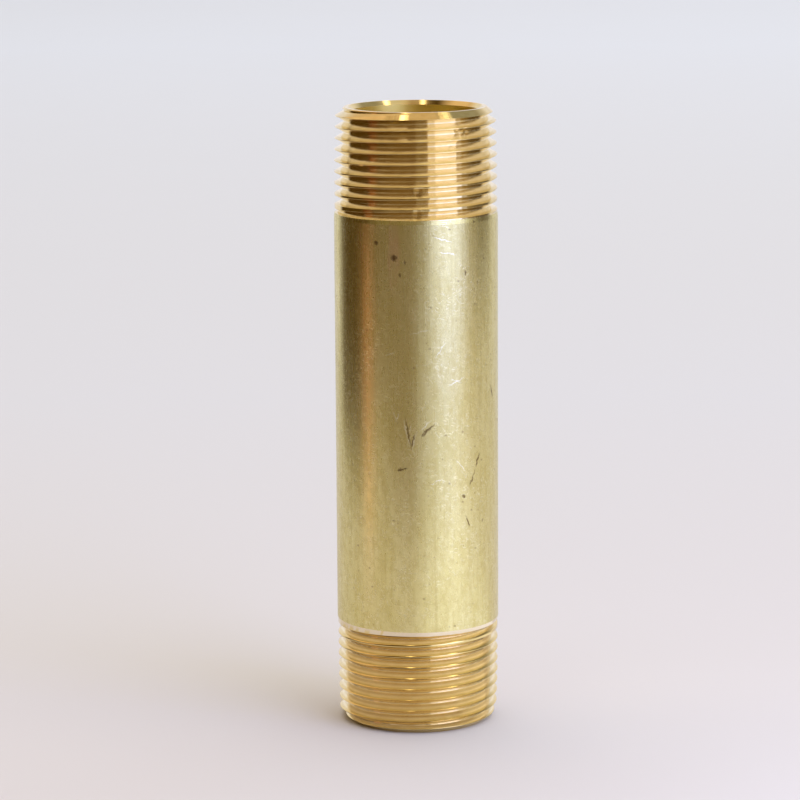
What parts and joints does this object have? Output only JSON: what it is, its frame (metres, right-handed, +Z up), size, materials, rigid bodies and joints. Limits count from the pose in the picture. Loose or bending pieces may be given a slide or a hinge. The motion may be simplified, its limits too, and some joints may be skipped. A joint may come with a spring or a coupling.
{
  "type": "threaded pipe nipple",
  "caption": "Straight length of brass pipe with an open bore and an outside taper pipe thread cut on each end.",
  "frame": {"origin": "centre of the lower end face, on the axis of the bore", "axes": "+Z up along the bore's axis, from the lower end face to the upper one; X and Y lie across the pipe"},
  "size_m": [0.0266, 0.0266, 0.1016],
  "materials": {
    "brass": "pale satin drawn pipe between the threads, bright golden machined threads, chamfers and end faces"
  },
  "bodies": {
    "root": {"threaded_nipple": "brass"}
  },
  "joints": []
}
